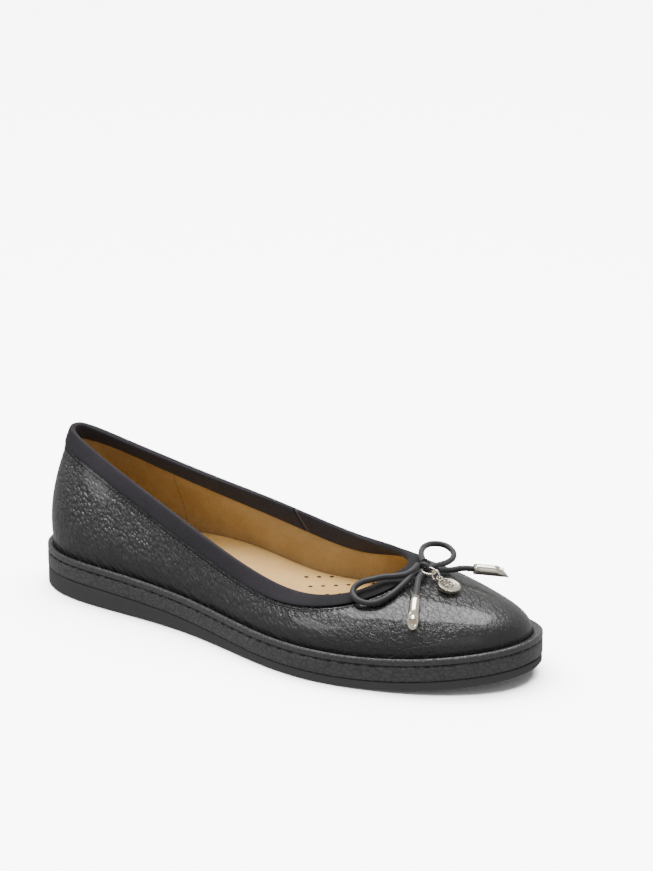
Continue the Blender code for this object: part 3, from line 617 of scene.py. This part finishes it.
def sharp_loop(node):
    """The corners, in order, of the longest sharp edge that runs round a CAD node."""
    body = bmesh.new()
    body.from_mesh(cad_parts[node].data)
    bmesh.ops.remove_doubles(body, verts=body.verts, dist=SAME_PLACE)
    body.normal_update()
    near = {}
    for edge in body.edges:
        if len(edge.link_faces) == 2 and edge.calc_face_angle(0.0) > RIM_ANGLE:
            first, second = edge.verts
            near.setdefault(first, []).append(second)
            near.setdefault(second, []).append(first)
    loops = []
    left = set(near)
    for seed in sorted(near, key=lambda corner: corner.index):
        if seed not in left:
            continue
        loop = [seed]
        left.discard(seed)
        step = [corner for corner in near[seed] if corner in left]
        while step:
            loop.append(step[0])
            left.discard(step[0])
            step = [corner for corner in near[step[0]] if corner in left]
        points = np.array([tuple(corner.co) for corner in loop])
        loops.append((float(np.linalg.norm(points - np.roll(points, 1, axis=0), axis=1).sum()), points))
    body.free()
    return max(loops, key=lambda found: found[0])[1]


def spaced(points, pitches, closed=True):
    """Places along a line of points, with the line's direction: the pitch changes from heel to toe."""
    line = np.vstack([points, points[:1]]) if closed else np.array(points)
    run = np.concatenate([[0.0], np.cumsum(np.linalg.norm(np.diff(line, axis=0), axis=1))])

    def at(distance):
        return np.array([np.interp(distance, run, line[:, k]) for k in range(3)])

    places = []
    distance = 0.0
    while distance < run[-1] - 0.5 * pitches[0]:
        place = at(distance)
        ahead = at(min(distance + LOOK_AHEAD, run[-1])) - at(max(distance - LOOK_AHEAD, 0.0))
        places.append((place, ahead / np.linalg.norm(ahead)))
        share = min(max((place[0] - PITCH_FROM) / PITCH_RUN, 0.0), 1.0)
        distance += pitches[0] + (pitches[1] - pitches[0]) * share
    return places


def sew(name, places, size, thread):
    """One stitch, copied to each place: (point, direction)."""
    bpy.ops.object.select_all(action="DESELECT")
    bpy.ops.mesh.primitive_uv_sphere_add(segments=STITCH_SEGMENTS, ring_count=STITCH_RINGS, radius=0.5)
    model = bpy.context.object
    corners = np.array([tuple(corner.co) for corner in model.data.vertices])
    faces = [tuple(face.vertices) for face in model.data.polygons]
    bpy.data.objects.remove(model)
    length, width = size
    made = []
    shapes = []
    for place, ahead in places:
        ahead = Vector(ahead)
        side = ahead.cross(Vector((0.0, 0.0, 1.0))).normalized()
        over = side.cross(ahead)
        turn = np.array((side * width, over * width, ahead * length))
        base = len(made) * len(corners)
        made.append(corners @ turn + np.array(place))
        shapes.extend(tuple(base + corner for corner in face) for face in faces)
    mesh = bpy.data.meshes.new(name)
    mesh.from_pydata([tuple(corner) for corner in np.vstack(made)], [], shapes)
    mesh.materials.append(thread)
    thing = bpy.data.objects.new(name, mesh)
    bpy.context.scene.collection.objects.link(thing)
    select_only(thing)
    bpy.ops.object.mode_set(mode="EDIT")
    bpy.ops.mesh.select_all(action="SELECT")
    bpy.ops.mesh.normals_make_consistent(inside=False)
    bpy.ops.object.mode_set(mode="OBJECT")
    bpy.ops.object.shade_smooth()
    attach(thing, "root")


def surface_of(node):
    """A CAD node as a surface for rays and nearest points."""
    body = bmesh.new()
    body.from_mesh(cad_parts[node].data)
    tree = BVHTree.FromBMesh(body)
    body.free()
    return tree


def sew_welt(dark):
    """The thread in the groove below the welt: rays from outside find the welt's lower edge."""
    welt = surface_of("welt")
    groove = []
    for turn in np.linspace(0.0, 2.0 * math.pi, RAYS_ROUND, endpoint=False):
        away = Vector((math.cos(turn), math.sin(turn), 0.0))
        centre = RAY_CENTRE_TOE if math.cos(turn) > 0 else RAY_CENTRE_HEEL
        for height in np.arange(*RAY_HEIGHTS):
            start = Vector((centre * math.cos(turn), 0.0, height)) + away * RAY_REACH
            hit = welt.ray_cast(start, -away, RAY_REACH)[0]
            if hit is not None:
                groove.append(tuple(hit + away * THREAD_OUT - Vector((0.0, 0.0, THREAD_DOWN))))
                break
    pitches = (WELT_PITCH_HEEL, WELT_PITCH_TOE)
    sew("welt_stitching", spaced(np.array(groove), pitches), WELT_STITCH, dark)


def sew_collar(upper, dark):
    """The dark line at the band's lower edge, and the stitches in the leather below it."""
    edge = sharp_loop("collar_band")
    middle = edge.mean(axis=0)
    seam = []
    groove = []
    for point, ahead in spaced(edge, (BAND_PITCH, BAND_PITCH)):
        foot, normal = upper.find_nearest(Vector(point))[:2]
        down = Vector(ahead).cross(normal).normalized()
        inward = down.dot(Vector(point) - Vector(middle)) < 0.0
        if down.z > 0.0 or (abs(down.z) < LEVEL_ENOUGH and inward):
            down = -down
        line = upper.find_nearest(foot + down * BAND_GROOVE_DROP)[0]
        groove.append((np.array(line), ahead))
        foot, normal = upper.find_nearest(foot + down * BAND_SEAM_DROP)[:2]
        seam.append((np.array(foot + normal * BAND_STITCH[1] / 4.0), ahead))
    sew("collar_seam_line", groove, BAND_GROOVE, dark)
    grey = seam_thread("upper_thread", (0.085, 0.085, 0.088), 0.30)
    sew("collar_stitching", seam, BAND_STITCH, grey)


def sew_lining(upper):
    """The upright seam of the counter's lining on the inner side."""
    inner = []
    for height in np.arange(*LINING_SEAM_RANGE, LINING_PITCH):
        hit = upper.ray_cast(Vector((LINING_SEAM_AT, 0.0, height)), Vector((0.0, 1.0, 0.0)))[0]
        if hit is not None:
            inner.append(tuple(hit))
    brown = seam_thread("lining_thread", (0.11, 0.060, 0.022), 0.6)
    places = spaced(np.array(inner), (LINING_PITCH, LINING_PITCH), False)
    sew("lining_stitching", places, LINING_STITCH, brown)


def make_seams():
    """The thread of the welt, of the collar and of the lining."""
    dark = seam_thread("sole_thread", (0.004, 0.004, 0.004), 0.6)
    upper = surface_of("upper")
    sew_welt(dark)
    sew_collar(upper, dark)
    sew_lining(upper)


def line_upper(thing):
    """Give the upper's inner faces the lining: those that look towards the middle of the foot."""
    for face in thing.data.polygons:
        middle = face.center
        core = Vector((min(max(middle.x, CORE_ENDS[0]), CORE_ENDS[1]), CORE_SIDE, CORE_HEIGHT))
        face.material_index = 1 if face.normal.dot(middle - core) < 0.0 else 0


def make_camera():
    """The photograph's camera, aimed so that the target lands on its pixel."""
    back = Vector(
        (
            math.sin(AZIMUTH) * math.cos(ELEVATION),
            -math.cos(AZIMUTH) * math.cos(ELEVATION),
            math.sin(ELEVATION),
        )
    )
    right = Vector((math.cos(AZIMUTH), math.sin(AZIMUTH), 0.0))
    up = back.cross(right)
    over = PHOTO_WIDTH / 2.0 - TARGET_PIXEL[0]
    under = TARGET_PIXEL[1] - PHOTO_HEIGHT / 2.0
    aim = (right * over + up * under - back * FOCAL_PIXELS).normalized()
    side = (right - right.dot(aim) * aim).normalized()
    turn = Matrix((side, side.cross(aim), -aim)).transposed().to_4x4()
    lens = bpy.data.cameras.new("camera")
    lens.sensor_width = 36.0
    lens.lens = FOCAL_PIXELS / PHOTO_HEIGHT * lens.sensor_width
    lens.clip_end = 20.0
    camera = bpy.data.objects.new("camera", lens)
    camera.matrix_world = Matrix.Translation(TARGET + back * CAMERA_DISTANCE) @ turn
    bpy.context.scene.collection.objects.link(camera)
    bpy.context.scene.camera = camera


def add_light(name, place, aim, size, power):
    """A rectangular soft light."""
    lamp = bpy.data.lights.new(name, "AREA")
    lamp.shape = "RECTANGLE"
    lamp.size, lamp.size_y = size
    lamp.energy = power
    thing = bpy.data.objects.new(name, lamp)
    thing.location = place
    thing.rotation_euler = (Vector(aim) - Vector(place)).to_track_quat("-Z", "Y").to_euler()
    bpy.context.scene.collection.objects.link(thing)


def make_studio(paint):
    """A pale floor with light of its own, a dim even sky, and three soft lights."""
    bpy.ops.object.select_all(action="DESELECT")
    bpy.ops.mesh.primitive_plane_add(size=FLOOR_SIZE, location=(0.0, 0.0, 0.0))
    floor = bpy.context.object
    floor.name = "floor"
    floor.data.materials.append(paint)
    floor.visible_diffuse = False
    floor.visible_glossy = False
    world = bpy.data.worlds.new("studio")
    world.use_nodes = True
    world.node_tree.nodes["Background"].inputs["Color"].default_value = (1.0, 1.0, 1.0, 1.0)
    world.node_tree.nodes["Background"].inputs["Strength"].default_value = SKY_STRENGTH
    bpy.context.scene.world = world
    for light in SOFT_LIGHTS:
        add_light(*light)
    wash = bpy.data.lights.new("floor_wash", "SUN")
    wash.energy = FLOOR_WASH
    wash.angle = WASH_SPREAD
    lamp = bpy.data.objects.new("floor_wash", wash)
    lamp.rotation_euler = Vector(WASH_DIRECTION).to_track_quat("-Z", "Y").to_euler()
    bpy.context.scene.collection.objects.link(lamp)
    lit = bpy.data.collections.new("lit_by_wash")
    lit.objects.link(floor)
    lamp.light_linking.receiver_collection = lit


make_camera()
make_bow(bow_cord(), pale_metal())
fine_copy("outsole", "rubber_sole", "outsole_rubber", [sole_rubber()], crease=1.0)
wrap = wrap_leather("wrap_leather", 0.0014, 0.42, 0.00034)
fine_copy("midsole", "sole_wrap", "midsole_leather", [wrap], crease=1.0, grow=JOINT_FILL)
strip = wrap_leather("welt_leather", 0.0009, 0.28, 0.00014)
fine_copy("welt", "welt_strip", "midsole_leather", [strip], crease=0.95, grow=JOINT_FILL)
upper = fine_copy("upper", "shoe_upper", "upper_leather", [upper_leather(), lining_leather()])
line_upper(upper)
fine_copy("collar_band", "collar_tape", "band_textile", [band_tape()], crease=0.25)
fine_copy("insole", "footbed", "insole_leather", [insole_leather()])
make_seams()
make_studio(floor_paint())
